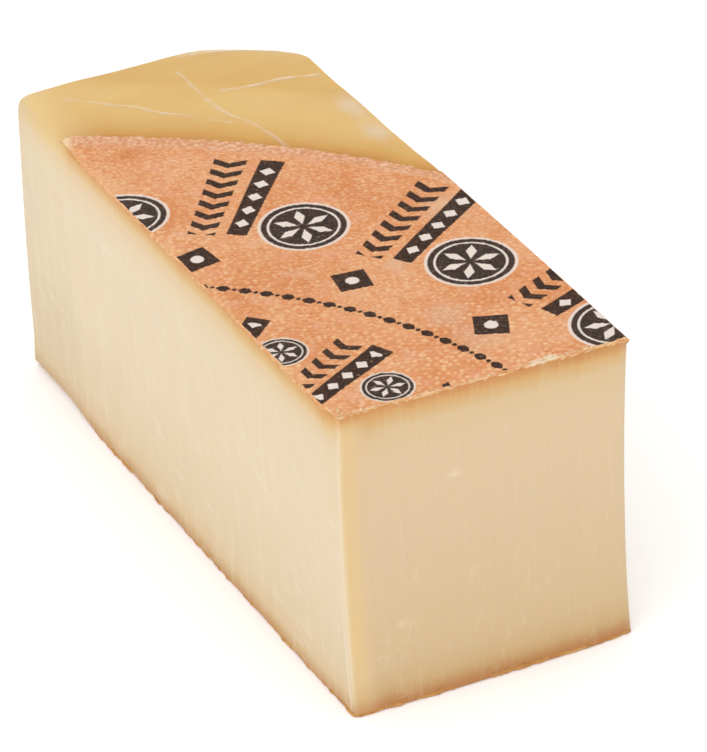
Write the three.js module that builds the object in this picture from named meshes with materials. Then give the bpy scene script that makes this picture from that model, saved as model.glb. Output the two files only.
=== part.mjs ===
// A block of gruyere cut from a large wheel, with the wheel's rind on top and underneath.
//
// The block frame: X runs across the block, Y runs along it away from the front face, Z is up.
// Its zero is the foot of the front left edge. The exported origin is the middle of the underside.
// Two long faces and the far end are cut flat by a wire, and so is the front, a little askew.
// On top, the rind stops along an arc round the wheel's centre. Behind the arc it has been planed away.
// At the far right corner the cut runs out of the wheel, and the wheel's rounded heel shows.

import * as THREE from 'three';

// Driving dimensions, in millimetres.

// The block as cut.
const HEIGHT = 106;
const WIDTH = 91.1;
const FRONT_SKEW = 7.2;
const FAR_CUT_TOP = 225.8;
const FAR_CUT_FOOT = 230.5;
const FAR_SKEW = 0.008;

// The wheel that it came from. Its centre lies outside the block.
const WHEEL_CENTRE_X = -105.9;
const WHEEL_CENTRE_Y = -40.5;
const HEEL_RADIUS = 325.4;
const HEEL_ROUNDING = 18;
const HEEL_FOOT_ROUNDING = 9;
const HEEL_CREASE = 2.5;
const SHARPEST_CREASE = 0.05;

// Where the top rind ends, as a radius of the wheel. The trim runs slightly inward to the right.
const RIND_RADIUS = 255.6;
const RIND_RADIUS_DRIFT = 0.098;
const RIND_THICKNESS = 1.3;
const RIND_STEP_LEFT = 0.9;
const RIND_STEP_RIGHT = 0.4;
const RIND_LIP = 0.35;
const PLANED_GROOVE = 0.25;
const GROOVE_PAST_RIND = 2.5;

// How far the left face's top edge bulges out past the front corner, and how much more past the middle.
const LEFT_TOP_BULGE = 1.3;
const LEFT_BULGE_FULL_Y = 9;
const LEFT_TOP_BULGE_FAR = 0.4;
const BULGE_GROWS_FROM_Y = 95;
const BULGE_FULL_FROM_Y = 145;
const LEFT_BELLY = 0.65;
const BELLY_GROWS_FROM_Y = 150;

// The same for the right face's top edge. It bulges only where the rind is, and grows away from the front.
const RIGHT_TOP_BULGE = 0.55;
const RIGHT_BARE_BULGE = 0.1;
const RIGHT_BULGE_FADES_OVER = 18;
const RIGHT_TOP_BULGE_MORE = 0.6;
const RIGHT_BULGE_FROM_Y = -10;
const RIGHT_BULGE_FULL_Y = 60;

// How far the dried faces bow in at half height, and lean or flare out at their feet.
const FRONT_BOW = 2.0;
const RIGHT_BOW = 0.3;
const RIGHT_FOOT_LEAN = 0.1;
const FRONT_LEFT_FOOT_LEAN = 1.7;
const FRONT_RIGHT_FOOT_DRAW = 0.4;
const LEFT_FOOT_LEAN_FRONT = 0.9;
const LEFT_FOOT_LEAN_FAR = 2.6;
const FRONT_FOOT_FLARE = 1.6;
const LEFT_FOOT_FLARE = 0.7;
const LEFT_FLARE_FULL_Y = 25;
const FLARE_HEIGHT = 16;

// Edge roundings. The left edge softens between these two places along it.
const CUT_EDGE = 0.7;
const LEFT_SOFT_EDGE = 7.5;
const SOFTENS_FROM_Y = 168;
const SOFT_FROM_Y = 206;
const FAR_SOFT_EDGE = 3;
const FAR_LEFT_CORNER = 3;
const RIGHT_FAR_CORNER = 18;
const FOOT_EDGE = 1.2;
const FAR_FOOT_EDGE = 3;
const LEFT_FAR_FOOT_EDGE = 5;
const LEFT_FOOT_ROUNDS_FROM_Y = 175;
const LEFT_FOOT_ROUND_FROM_Y = 205;

// Unevenness of the top and of the rind's broken edges.
const RIND_WAVE = 0.22;
const PLANED_WAVE = 0.3;
const FAR_LEFT_RISE = 0.5;
const EDGE_CRAG = 0.45;

// The middle of the finished plan in the block frame. The exported origin sits under it.
const MIDDLE_X = 44.82;
const MIDDLE_Y = 111.39;

const mix = (a, b, t) => a + (b - a) * t;
const clamp = (value, low, high) => Math.min(Math.max(value, low), high);

function smoothStep(value, from, to) {
  const t = clamp((value - from) / (to - from), 0, 1);
  return t * t * (3 - 2 * t);
}

// The smaller of two lengths, with the crease between them rounded over the given width.
function softMin(a, b, width) {
  const t = clamp(0.5 + (0.5 * (b - a)) / width, 0, 1);
  return mix(b, a, t) - width * t * (1 - t);
}

// How far a quarter round falls away at a distance from the sharp edge that it replaces.
function quarterRound(distance, radius) {
  const inside = clamp(radius - distance, 0, radius);
  return radius - Math.sqrt(radius * radius - inside * inside);
}

// The same where two faces meet and each carries half of the rounding, up to its 45 degree point.
const SHARED_EDGE = 1 - Math.SQRT1_2;
const sharedRound = (distance, radius) => quarterRound(Math.max(distance, SHARED_EDGE * radius), radius);

// An even mix of waves along a line, between about -1 and 1, the same on every run.
function waver(along, phase) {
  const slow = Math.sin(along / 9.7 + phase);
  const middle = Math.sin(along / 4.3 + 2.1 * phase);
  const quick = Math.sin(along / 2.3 + 3.7 * phase);
  return 0.45 * slow + 0.35 * middle + 0.2 * quick;
}

// The wheel's circles

const wheelRadius = (x, y) => Math.hypot(x - WHEEL_CENTRE_X, y - WHEEL_CENTRE_Y);

function circleY(x, radius) {
  const across = x - WHEEL_CENTRE_X;
  return WHEEL_CENTRE_Y + Math.sqrt(radius * radius - across * across);
}

const rindEndY = (x) => circleY(x, RIND_RADIUS - RIND_RADIUS_DRIFT * x);

// The top face, before its edges are rounded

function planedDepth(x, y) {
  const past = y - rindEndY(x);
  const step = mix(RIND_STEP_LEFT, RIND_STEP_RIGHT, x / WIDTH);
  const groove = PLANED_GROOVE * Math.exp(-((past - GROOVE_PAST_RIND) ** 2) / 6);
  const wave = PLANED_WAVE * Math.sin(x / 13 + y / 17) * Math.sin(y / 9 - x / 31);
  const rise = FAR_LEFT_RISE * smoothStep(y, 175, 212) * (1 - smoothStep(x, 14, 34));
  return step + groove + wave * smoothStep(past, 2, 12) - rise;
}

function faceZ(x, y) {
  const planed = smoothStep(y - rindEndY(x), 0, 0.8);
  const rindWave = RIND_WAVE * Math.sin(x / 11 + 1.3) * Math.sin(y / 14 + x / 23);
  return HEIGHT + mix(rindWave, -planedDepth(x, y), planed);
}

// The side faces, before their edges are rounded

// towardFoot is 1 at the foot and 0 at the top. bow is 1 at half height and 0 at the foot and the top.
const towardFoot = (z) => 1 - (clamp(z, 0, HEIGHT) / HEIGHT) ** 1.5;
const bow = (z) => 1 - ((2 * z) / HEIGHT - 1) ** 2;
const flare = (z) => 1 - smoothStep(z, 0, FLARE_HEIGHT);
const softened = (y) => smoothStep(y, SOFTENS_FROM_Y, SOFT_FROM_Y);

function leftFace(y, z) {
  const near = LEFT_TOP_BULGE * smoothStep(y, 0, LEFT_BULGE_FULL_Y);
  const atTop = near + LEFT_TOP_BULGE_FAR * smoothStep(y, BULGE_GROWS_FROM_Y, BULGE_FULL_FROM_Y);
  const atFoot = mix(LEFT_FOOT_LEAN_FRONT, LEFT_FOOT_LEAN_FAR, y / FAR_CUT_TOP);
  const flared = LEFT_FOOT_FLARE * flare(z) * smoothStep(y, 0, LEFT_FLARE_FULL_Y);
  const belly = LEFT_BELLY * bow(z) * smoothStep(y, BELLY_GROWS_FROM_Y, FAR_CUT_TOP);
  return -mix(atTop, atFoot, towardFoot(z)) - flared - belly;
}

function rightFace(y, z) {
  const more = RIGHT_TOP_BULGE_MORE * smoothStep(y, RIGHT_BULGE_FROM_Y, RIGHT_BULGE_FULL_Y);
  const pastRind = smoothStep(y - rindEndY(WIDTH), 0, RIGHT_BULGE_FADES_OVER);
  const bulge = mix(RIGHT_TOP_BULGE + more, RIGHT_BARE_BULGE, pastRind) * (1 - towardFoot(z));
  return WIDTH + bulge - RIGHT_BOW * bow(z) + RIGHT_FOOT_LEAN * (1 - z / HEIGHT);
}

function frontFace(x, z) {
  const across = clamp(x / WIDTH, 0, 1);
  const lean = mix(-FRONT_LEFT_FOOT_LEAN, FRONT_RIGHT_FOOT_DRAW, across) * (1 - z / HEIGHT);
  const flared = FRONT_FOOT_FLARE * flare(z) * Math.sqrt(Math.sin(Math.PI * across));
  return -FRONT_SKEW * across + FRONT_BOW * bow(z) + lean - flared;
}

const farCut = (x, z) => mix(FAR_CUT_FOOT, FAR_CUT_TOP, z / HEIGHT) - FAR_SKEW * x;

function heelRadius(below, z) {
  const top = sharedRound(below, HEEL_ROUNDING);
  return HEEL_RADIUS - top - quarterRound(z, HEEL_FOOT_ROUNDING);
}

// The rind's cut edge stands a little proud of the paste below it, and is broken along its length.
function lip(past, below, along) {
  const onRind = 1 - smoothStep(past, -2, 0.5);
  const inBand = 1 - smoothStep(below, RIND_THICKNESS, RIND_THICKNESS + 0.3);
  return onRind * inBand * (RIND_LIP + 0.5 * EDGE_CRAG * waver(along, 0.7));
}

const footCrag = (z, along) => EDGE_CRAG * waver(along, 2.9) * (1 - smoothStep(z, 0, 2.5));

// All faces with their rounded edges

const leftEdge = (y) => mix(CUT_EDGE, LEFT_SOFT_EDGE, softened(y));

function topZ(x, y) {
  const leftDip = sharedRound(x - leftFace(y, HEIGHT), leftEdge(y));
  const rightDip = sharedRound(rightFace(y, HEIGHT) - x, CUT_EDGE);
  const frontDip = sharedRound(y - frontFace(x, HEIGHT), CUT_EDGE);
  const farDip = sharedRound(farCut(x, HEIGHT) - y, FAR_SOFT_EDGE);
  const heelDip = sharedRound(HEEL_RADIUS - wheelRadius(x, y), HEEL_ROUNDING);
  return faceZ(x, y) - Math.max(leftDip, rightDip, frontDip, farDip + heelDip);
}

function left(y, z) {
  const below = faceZ(0, y) - z;
  const edge = sharedRound(below, leftEdge(y));
  const footRounds = smoothStep(y, LEFT_FOOT_ROUNDS_FROM_Y, LEFT_FOOT_ROUND_FROM_Y);
  const foot = quarterRound(z, mix(FOOT_EDGE, LEFT_FAR_FOOT_EDGE, footRounds));
  const nearCorner = sharedRound(y - frontFace(0, z), CUT_EDGE);
  const farCorner = sharedRound(farCut(0, z) - y, FAR_LEFT_CORNER);
  const proud = lip(y - rindEndY(0), below, y) + footCrag(z, y);
  return leftFace(y, z) + Math.max(edge, foot, nearCorner, farCorner) - proud;
}

function right(y, z) {
  const below = faceZ(WIDTH, y) - z;
  const edge = sharedRound(below, CUT_EDGE);
  const foot = quarterRound(z, FOOT_EDGE);
  const nearCorner = sharedRound(y - frontFace(WIDTH, z), CUT_EDGE);
  const heelY = circleY(WIDTH, heelRadius(below, z));
  const farCorner = sharedRound(Math.min(farCut(WIDTH, z), heelY) - y, RIGHT_FAR_CORNER);
  const proud = lip(y - rindEndY(WIDTH), below, y + 50) + footCrag(z, y + 80);
  return rightFace(y, z) - Math.max(edge, foot, nearCorner, farCorner) + proud;
}

function front(x, z) {
  const below = faceZ(x, frontFace(x, HEIGHT)) - z;
  const edge = sharedRound(below, CUT_EDGE);
  const foot = quarterRound(z, FOOT_EDGE);
  const corner = sharedRound(Math.min(x - leftFace(0, z), rightFace(0, z) - x), CUT_EDGE);
  const proud = lip(-rindEndY(x), below, x + 20) + footCrag(z, x + 140);
  return frontFace(x, z) + Math.max(edge, foot, corner) - proud;
}

// The cut's own top edge follows the heel's rounding down. The crease between them is sharpest there.
function far(x, z) {
  const below = faceZ(x, FAR_CUT_TOP) - z;
  const heelDrop = quarterRound(HEEL_RADIUS - wheelRadius(x, FAR_CUT_TOP), HEEL_ROUNDING);
  const edge = sharedRound(below - heelDrop, FAR_SOFT_EDGE);
  const foot = quarterRound(z, FAR_FOOT_EDGE);
  const corner = sharedRound(x - leftFace(FAR_CUT_TOP, z), FAR_LEFT_CORNER);
  const cut = farCut(x, z) - Math.max(edge, foot, corner);
  const rightCorner = sharedRound(rightFace(FAR_CUT_TOP, z) - x, RIGHT_FAR_CORNER);
  const heel = circleY(x, heelRadius(below, z)) - rightCorner;
  const downHeel = smoothStep(below, SHARED_EDGE * HEEL_ROUNDING, HEEL_ROUNDING);
  return softMin(cut, heel, mix(SHARPEST_CREASE, HEEL_CREASE, downHeel)) - footCrag(z, x + 200);
}

// The mesh lines. Each is a share of the way between two opposite faces, and an offset in millimetres,
// so that lines crowd where an edge or the rind's end needs them.

const spread = (from, to, count) => Array.from({ length: count }, (_, k) => [mix(from, to, k / (count - 1)), 0]);

const ACROSS = [
  [0, 0], [0, 1.2], [0, 2.6], [0, 5.5], ...spread(0.14, 0.86, 11), [1, -6], [1, -2], [1, -0.6], [1, 0],
];

// Shares 0 to 1 go from the front to the rind's end, and 1 to 2 from there to the far end.
const ALONG = [
  [0, 0], [0, 0.6], [0, 2.4], ...spread(0.04, 0.96, 25), [1, -2.2], [1, 0], [1, 0.8], [1, 3], [1, 6],
  ...spread(1.24, 1.72, 5), [2, -8], [2, -5], [2, -2.8], [2, -1.2], [2, 0],
];

const UP = [
  [0, 0], [0, 0.4], [0, 1.2], [0, 3], [0, 7], ...spread(0.12, 0.84, 8), [1, -12], [1, -8],
  [1, -5], [1, -3], [1, -RIND_THICKNESS - 0.3], [1, -RIND_THICKNESS], [1, -0.5], [1, 0],
];

function alongY([share, offset], x, z) {
  const end = rindEndY(x);
  if (share <= 1) return mix(front(x, z), end, share) + offset;
  return mix(end, far(x, z), share - 1) + offset;
}

// The faces depend on each other's coordinates, so a point is brought onto all of them in a few rounds.
function meshPoint([acrossShare, acrossOffset], alongLine, [upShare, upOffset]) {
  let x = acrossShare * WIDTH + acrossOffset;
  let z = upShare * HEIGHT + upOffset;
  let y = 0;
  for (let round = 0; round < 4; round += 1) {
    y = alongY(alongLine, x, z);
    x = mix(left(y, z), right(y, z), acrossShare) + acrossOffset;
    z = upShare * topZ(x, y) + upOffset;
  }
  return [x - MIDDLE_X, y - MIDDLE_Y, z];
}

// The closed surface: six grids of mesh points that share the points on the edges between them.
function blockSurface() {
  const positions = [];
  const indices = [];
  const known = new Map();
  const last = [ACROSS.length - 1, ALONG.length - 1, UP.length - 1];

  function corner(i, j, k) {
    const key = `${i},${j},${k}`;
    if (!known.has(key)) {
      known.set(key, positions.length / 3);
      positions.push(...meshPoint(ACROSS[i], ALONG[j], UP[k]));
    }
    return known.get(key);
  }

  // A grid over two of the three directions, at the first or last line of the third.
  function grid(first, second, fixed, atEnd) {
    const place = (a, b) => {
      const at = [0, 0, 0];
      at[first] = a;
      at[second] = b;
      at[fixed] = atEnd ? last[fixed] : 0;
      return corner(...at);
    };
    for (let a = 0; a < last[first]; a += 1) {
      for (let b = 0; b < last[second]; b += 1) {
        const quad = [place(a, b), place(a + 1, b), place(a + 1, b + 1), place(a, b + 1)];
        if (!atEnd) quad.reverse();
        indices.push(quad[0], quad[1], quad[2], quad[0], quad[2], quad[3]);
      }
    }
  }

  const [x, y, z] = [0, 1, 2];
  for (const atEnd of [false, true]) {
    grid(x, y, z, atEnd);
    grid(y, z, x, atEnd);
    grid(z, x, y, atEnd);
  }
  const geometry = new THREE.BufferGeometry();
  geometry.setAttribute('position', new THREE.Float32BufferAttribute(positions, 3));
  geometry.setIndex(indices);
  geometry.computeVertexNormals();
  return geometry;
}

const paste = new THREE.MeshStandardMaterial({ color: 0xe6cfa8, roughness: 0.45, metalness: 0 });

const cheese = new THREE.Mesh(blockSurface(), paste);
cheese.name = 'cheese';

const group = new THREE.Group();
group.add(cheese);

export default group;
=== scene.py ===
"""The looks of a block of gruyere cut from a large wheel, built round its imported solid.

The block frame is the solid's: X runs across the block, Y along it away from the front face, Z is up, and
zero is the foot of the front left edge. Shapes are worked out there in millimetres, and piece() turns them
into metres in the row frame. Materials measure in metres in the row frame.
"""

import math
from functools import cached_property, partialmethod, reduce
from itertools import product

import bmesh
import bpy
import numpy as np
from mathutils import Matrix, Vector


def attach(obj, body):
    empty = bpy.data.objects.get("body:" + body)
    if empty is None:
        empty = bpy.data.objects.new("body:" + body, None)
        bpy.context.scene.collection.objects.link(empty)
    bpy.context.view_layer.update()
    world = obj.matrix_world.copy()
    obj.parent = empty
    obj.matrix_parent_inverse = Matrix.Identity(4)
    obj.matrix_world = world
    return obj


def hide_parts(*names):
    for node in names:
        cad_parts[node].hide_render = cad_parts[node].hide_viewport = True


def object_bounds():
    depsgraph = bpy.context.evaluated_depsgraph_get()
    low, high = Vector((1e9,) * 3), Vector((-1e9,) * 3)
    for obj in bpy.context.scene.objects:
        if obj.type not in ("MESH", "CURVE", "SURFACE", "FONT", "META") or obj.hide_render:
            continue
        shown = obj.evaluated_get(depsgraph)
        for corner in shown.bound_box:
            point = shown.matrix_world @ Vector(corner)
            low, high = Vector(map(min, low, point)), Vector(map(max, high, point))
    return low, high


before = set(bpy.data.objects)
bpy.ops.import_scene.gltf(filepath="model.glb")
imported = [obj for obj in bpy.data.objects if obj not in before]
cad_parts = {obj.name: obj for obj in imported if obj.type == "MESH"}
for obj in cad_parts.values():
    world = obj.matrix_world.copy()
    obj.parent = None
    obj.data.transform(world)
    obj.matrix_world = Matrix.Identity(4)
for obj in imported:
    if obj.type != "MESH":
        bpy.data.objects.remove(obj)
solid_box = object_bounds()

MM = 0.001
ROOT = "root"
NODE = "cheese"

# The block's sizes in millimetres, as the solid has them. A pair says where a change begins and is complete

HEIGHT = 106.0
WIDTH = 91.1
FRONT_SKEW = 7.2
FAR_CUT_TOP = 225.8
FAR_CUT_FOOT = 230.5
FAR_SKEW = 0.008

WHEEL_CENTRE = np.array([-105.9, -40.5])
HEEL_RADIUS = 325.4
HEEL_ROUNDING = 18.0
HEEL_FOOT_ROUNDING = 9.0
HEEL_CREASE = 2.5
SHARPEST_CREASE = 0.05

RIND_RADIUS = 255.6
RIND_RADIUS_DRIFT = 0.098
RIND_THICKNESS = 1.3
RIND_STEP_LEFT = 0.9
RIND_STEP_RIGHT = 0.4
RIND_STEP_LENGTH = 0.8
PLANED_GROOVE = 0.25
GROOVE_PAST_RIND = 2.5
GROOVE_SPREAD = 6

LEFT_TOP_BULGE = 1.3
LEFT_BULGE_FULL_Y = 9.0
LEFT_TOP_BULGE_FAR = 0.4
LEFT_BULGE_GROWS = (95.0, 145.0)
LEFT_BELLY = 0.65
BELLY_GROWS_FROM_Y = 150.0

RIGHT_TOP_BULGE = 0.55
RIGHT_BARE_BULGE = 0.1
RIGHT_BULGE_FADES_OVER = 18.0
RIGHT_TOP_BULGE_MORE = 0.6
RIGHT_BULGE_GROWS = (-10.0, 60.0)

FRONT_BOW = 2.0
RIGHT_BOW = 0.3
RIGHT_FOOT_LEAN = 0.1
FRONT_LEFT_FOOT_LEAN = 1.7
FRONT_RIGHT_FOOT_DRAW = 0.4
LEFT_FOOT_LEAN_FRONT = 0.9
LEFT_FOOT_LEAN_FAR = 2.6
FRONT_FOOT_FLARE = 1.6
LEFT_FOOT_FLARE = 0.7
LEFT_FLARE_FULL_Y = 25.0
FLARE_HEIGHT = 16.0

CUT_EDGE = 0.7
LEFT_SOFT_EDGE = 7.5
LEFT_SOFTENS = (168.0, 206.0)
FAR_SOFT_EDGE = 3.0
FAR_LEFT_CORNER = 3.0
RIGHT_FAR_CORNER = 18.0
FOOT_EDGE = 1.2
FAR_FOOT_EDGE = 3.0
LEFT_FAR_FOOT_EDGE = 5.0
LEFT_FOOT_ROUNDS = (175.0, 205.0)

RIND_WAVE = 0.22
PLANED_WAVE = 0.3
PLANED_WAVE_GROWS = (2, 12)
FAR_LEFT_RISE = 0.5
FAR_LEFT_RISES_ALONG = (175, 212)
FAR_LEFT_FADES_ACROSS = (14, 34)

# The row frame's origin in the block frame
MIDDLE = np.array([44.82, 111.39, 0.0])

# What the solid leaves to this script, in millimetres. Where the front's foot swells, and how far to each
# side, are shares of the front's width
FRONT_FOOT_SWELL = 0.55
SWELL_ACROSS = 0.8
SWELL_REACH = 0.14
HIDDEN_UNDER_RIND = 0.6
RIND_PROUD = 0.2
RIND_END_RAGGED = 0.35
RIND_EDGE_RAGGED = 0.4
RIND_DRAWN_IN = 0.24
RIND_END_BAND = 8.5
GRAIN_HEIGHT = 0.4
PEBBLE_HEIGHT = 0.4
FOOT_RIND_FRONT = 1.5
FOOT_RIND_SIDE = 1.35
FOOT_CORNER_PROUD = 0.8

# The rind's granules: their grid along and across the weave, radius, seed and how loosely they lie in it
COARSE_GRAIN = ((2.2, 2.0), 1.25, 23, 0.6)
FINE_GRAIN = ((1.6, 1.2), 0.85, 24, 0.6)
END_PEBBLES = ((1.6, 1.3), 1.0, 26, 1.0)

# The heel's rind: where it begins on the rounding, how high its lower end lies, where it meets the far cut,
# how proud it stands and how far its border is tucked in
HEEL_RIND_FROM = math.radians(42)
HEEL_RIND_FOOT = 1.4
HEEL_CUT_X = 85.0
HEEL_RIND_PROUD = 0.14
HEEL_TUCKED = 1.5

# The foot's rind thins out along the left face, and stands out by its front left corner
FOOT_THINS_BY = 0.65
FOOT_THINS = (185, 200)
FOOT_CORNER_Y = 4.0
FOOT_CORNER_REACH = 9.0
FOOT_TUCKED = 1.5

# The rings of the foot rind's edge: share of its thickness, lift, how proud it stands and how craggy it is
FOOT_RINGS = [
    (0.0, 0.0, -1.6, 0.0),
    (0.0, 0.12, -0.25, 0.0),
    (0.25, 0.0, 0.12, 0.8),
    (0.62, 0.0, 0.12, 0.6),
    (1.0, 0.0, -0.1, 0.1),
]

# The turns of the rind's weave and of the smears on the side faces
WEAVE_ANGLE = math.radians(-31.6)
WEAVE = (0, 0, WEAVE_ANGLE)
SMEAR = (math.radians(20), 0, 0)

# Where a flake of the rind has come off the front edge, its half length and half width, and how deep it was
PEELED = (64.5, 5.5, 1.6)
PEEL_DEPTH = 0.25

# Nicks in the front face: a place across and up, half width and half height. How deep they are
NICKS = [(35.8, 74.3, 1.7, 0.8), (16.7, 27.0, 0.9, 0.7)]
NICK_DEPTH = 0.5

# The cut faces' fine upright wire marks and broad soft waves: height, lump sizes and seed
WIRE_MARKS = [(0.04, (1.3, 1.3, 45.0), 11), (0.06, (3.1, 3.1, 70.0), 12), (0.12, 26.0, 13)]

# A brownish stain near the rind's end
STAIN = (13.1, 170.0)

# Pale worn marks on the rind: a place, how far each reaches and how strong it is
PALE_MARKS = [
    (83.2, 87.2, 11.0, 0.5),
    (56.8, 15.8, 11.0, 0.36),
    (52.9, 32.6, 9.0, 0.38),
    (53.5, 66.0, 6.0, 0.3),
]

# A curled flake at the front left corner of the rind: where it starts and how far it runs, and its half width
CORNER_FLAKE_START = (0.9, -0.2)
CORNER_FLAKE_RUN = (1.6, 5.2)
CORNER_FLAKE_SIZE = 0.55

# How much brighter than its paint a surface looks under the studio light
STUDIO_LIGHT = 1.15

# The print repeats round the wheel after this many degrees. Each motif has its ring's radius in millimetres,
# its angle in degrees, and then its own sizes in millimetres
PRINT_PERIOD = 16.0
ROSETTES = [(203.0, 44.0, 13.2), (134.0, 36.5, 7.5)]
BEADED_BARS = [(217.0, 33.4, 3.6, 23.0, 8.0), (132.0, 26.2, 3.4, 17.5, 7.0)]
CHEVRON_COLUMNS = [(216.0, 36.6, 4.8, 23.4, 6.4, 3.2), (132.0, 30.2, 4.0, 16.5, 6.0, 2.7)]
TILE_RING = (178.0, 36.0)
TILE_REACH = 7.4
TILE_DOT = 2.1

# The chain of dashes and dots: its ring, the degrees from one dash to the next, and its sizes
CHAIN_RADIUS = 163.0
CHAIN_PERIOD = 2.4
DASH_REACH = 2.4
DASH_HALF_HEIGHT = 1.5
DOT_RADIUS = 0.75

# How wide the edges of the print are blurred
INK_BLUR = 0.5

# The film's folds: half width, and corners in the block frame
FILM_FOLDS = [
    (0.4, [(10.7, 213.2), (17.8, 206.3), (29.4, 196.6), (33.4, 190.1), (41.0, 182.1)]),
    (0.32, [(45.3, 175.5), (50.7, 169.8)]),
    (0.22, [(49.9, 211.4), (50.0, 200.1), (50.4, 184.0)]),
    (0.33, [(50.4, 183.0), (51.6, 175.4), (56.1, 164.8), (58.2, 150.5), (58.7, 139.6)]),
    (0.46, [(56.2, 192.1), (64.3, 189.4), (76.9, 188.5), (88.9, 184.0)]),
    (0.3, [(53.3, 50.0), (52.9, 43.8), (53.1, 37.0), (52.9, 31.3), (51.9, 23.3)]),
    (0.16, [(56.1, 96.6), (55.4, 86.1)]),
    (0.6, [(53.9, 220.8), (62.9, 218.6), (71.3, 215.7), (79.2, 212.6), (86.5, 207.0)]),
    (0.22, [(54.4, 68.8), (54.2, 63.4), (54.9, 60.2)]),
]

# The film's colour in its painted glare and, warmer, on its folds, whose paleness is partly the creased
# film's own and partly painted sheen
FILM_GLARE_COLOUR = (0.95, 0.96, 1.0, 1.0)
FILM_FOLD_COLOUR = (1.0, 0.9, 0.68, 1.0)

# How far the film rises at a fold, as a share of the fold's half width
FOLD_RISE = 1.0

# How high the film is gathered along the far edge, in millimetres
FAR_FRINGE = 0.8

# Painted glare on the film by the right edge, where light reflects off it over the heel's rounding: a place
# and how far the glare reaches along the edge
FILM_GLARE_PATCHES = [(87.6, 160.0, 9.5), (86.6, 141.4, 7.5)]
FILM_GLARE_ACROSS = 4.6

# How far inside the bare top's edges the film ends, and how far over the top it lies. Its left edge is
# straight, from the left face at one place along the block
FILM_LEFT_AT_Y = 210
FILM_IN_FROM_LEFT = 2.2
FILM_IN_FROM_RIGHT = 0.9
FILM_IN_FROM_FAR = 1.4
FILM_PAST_RIND = 0.8
FILM_CLEARANCE = 0.08
FILM_DEPTH = 1.0

# How much the film covers what lies under it: where it is clear, on a fold, more where the fold is broken, in
# the painted glare, and at most
FILM_CLEAR_ALPHA = 0.005
FILM_FOLD_ALPHA = 0.05
FILM_BROKEN_ALPHA = 0.24
FILM_GLARE_ALPHA = 0.24
FILM_MOST_ALPHA = 0.245

# How the mesh lines of the pieces lie: see lattice_lines. Lines are crowded by an edge, the foot and the heel
BY_EDGE = (0.0, 0.2, 0.5, 1.0, 1.8, 3.0)
BY_FOOT = (0.0, 0.3, 0.8, 1.5, 2.6, 4.0)
BY_HEEL = (0, 0.4, 0.8, 1.2, 1.7, 2.3, 3.1, 4, 5, 6.2, 7.6, 9.4, 11.5, 14, 17)
BY_RIND_EDGE = (0.0, 0.2, 0.4, 0.7, 1.1)
PASTE_ACROSS = (BY_EDGE, 0.045, 0.955, 84, BY_EDGE)
PASTE_TO_RIND = (BY_EDGE, 0.03, 0.985, 108, (0.0, RIND_STEP_LENGTH))
PASTE_UP = (BY_FOOT, 0.06, 0.82, 58, BY_HEEL)
RIND_ACROSS = (BY_RIND_EDGE, 0.018, 0.982, 172, BY_RIND_EDGE)
RIND_ALONG = (BY_RIND_EDGE, 0.012, 0.95, 328, ())
RIND_AT_END = ((), 0.953, 0.99, 40, BY_RIND_EDGE)

# How many even or crowded lines the others have
PASTE_TO_FAR = 76
FOOT_ACROSS, FOOT_ALONG = 165, 418
HEEL_ROUND, HEEL_DOWN, HEEL_AROUND = 36, 84, 40
FILM_ACROSS, FILM_ALONG = 150, 180

# The step along a fold's path, in millimetres
FOLD_STEP = 0.3

# How often lattice points are brought onto the faces, which depend on each other
PASTE_ROUNDS = 4
RIND_ROUNDS = 3

# The camera. Its aim is a point in the row frame, in metres
CAMERA_AIM = Vector((0.00501, -0.01985, 0.053))
CAMERA_DISTANCE = 1.3312
CAMERA_AZIMUTH = math.radians(25.63)
CAMERA_ELEVATION = math.radians(32.42)
CAMERA_ROLL = math.radians(-3.33)
CAMERA_LENS = 204.6

# The floor's half width in metres, its grey and its own glow, and the studio's lights
FLOOR_HALF = 6.0
FLOOR_GREY = 0.95
FLOOR_GLOW = 0.12
SURROUND_STRENGTH = 0.905
KEY_LIGHT = {"azimuth": -55, "elevation": 44, "spread": 80, "power": 0.955}


# Numbers and curves

def mix(a, b, t):
    return a + (b - a) * t


def smooth_step(value, low, high):
    t = np.clip((value - low) / (high - low), 0, 1)
    return t * t * (3 - 2 * t)


def soft_min(a, b, width):
    t = np.clip(0.5 + 0.5 * (b - a) / width, 0, 1)
    return mix(b, a, t) - width * t * (1 - t)


def quarter_round(distance, radius):
    inside = np.clip(radius - distance, 0, radius)
    return radius - np.sqrt(radius * radius - inside * inside)


def largest(*values):
    return reduce(np.maximum, values)


def spots(*axes):
    """Points from their coordinates, along a new last axis."""
    return np.stack(axes, axis=-1)


SHARED_EDGE = 1 - math.sqrt(0.5)


def shared_round(distance, radius):
    """A quarter round where each of the two faces that meet carries its own half."""
    return quarter_round(np.maximum(distance, SHARED_EDGE * radius), radius)


def waver(along, phase):
    slow = np.sin(along / 9.7 + phase)
    middle = np.sin(along / 4.3 + 2.1 * phase)
    quick = np.sin(along / 2.3 + 3.7 * phase)
    return 0.45 * slow + 0.35 * middle + 0.2 * quick


def lumps(points, size, seed):
    """Smooth seeded noise from -1 to 1 at points, whose lumps have this size, or one size for each axis."""
    table = np.random.default_rng(seed).uniform(-1, 1, 4096)
    cell = np.asarray(points, float) / np.asarray(size, float)
    base = np.floor(cell).astype(np.int64)
    part = cell - base
    ease = part * part * (3 - 2 * part)
    strides = (73, 1979, 31337)[: cell.shape[-1]]
    total = np.zeros(cell.shape[:-1])
    for step in product((0, 1), repeat=cell.shape[-1]):
        weight = np.ones(cell.shape[:-1])
        code = np.zeros(cell.shape[:-1], np.int64)
        for axis, side in enumerate(step):
            weight = weight * (ease[..., axis] if side else 1 - ease[..., axis])
            code = code ^ ((base[..., axis] + side) * strides[axis])
        total += weight * table[code % len(table)]
    return total


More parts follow.
